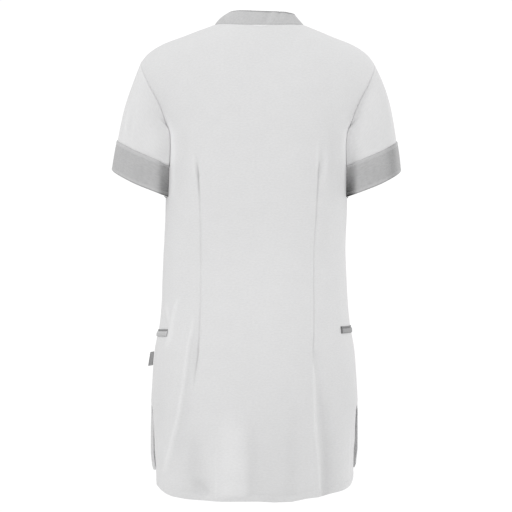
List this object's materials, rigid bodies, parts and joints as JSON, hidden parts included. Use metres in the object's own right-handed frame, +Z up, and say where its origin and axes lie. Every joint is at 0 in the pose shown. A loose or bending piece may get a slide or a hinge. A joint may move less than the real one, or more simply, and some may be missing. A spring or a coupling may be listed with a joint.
{
  "type": "medical tunic",
  "caption": "Hollow short-sleeved medical tunic in its worn form, with a band round the neck and its V, turned-up cuffs, cut hip pockets and side slits.",
  "frame": {"origin": "midway between the two neck points of the shoulder seams, where the wearer's shoulders hold the tunic up", "axes": "+X to the wearer's right, +Y to the wearer's front, +Z up"},
  "size_m": [0.508, 0.2704, 0.8378],
  "materials": {
    "white cloth": "matt twill weave",
    "grey cloth": "matt plain weave",
    "tag": "matt ribbon"
  },
  "bodies": {
    "root": {"back_panel": "white cloth", "front_panel": "white cloth", "sleeve_left": "white cloth", "sleeve_right": "white cloth", "cuff_left": "grey cloth", "cuff_right": "grey cloth", "neck_band": "grey cloth", "pocket_left_upper_lip": "grey cloth", "pocket_left_lower_lip": "grey cloth", "pocket_left_bag": "white cloth", "pocket_right_upper_lip": "grey cloth", "pocket_right_lower_lip": "grey cloth", "pocket_right_bag": "white cloth", "side_tag": "tag"}
  },
  "joints": []
}
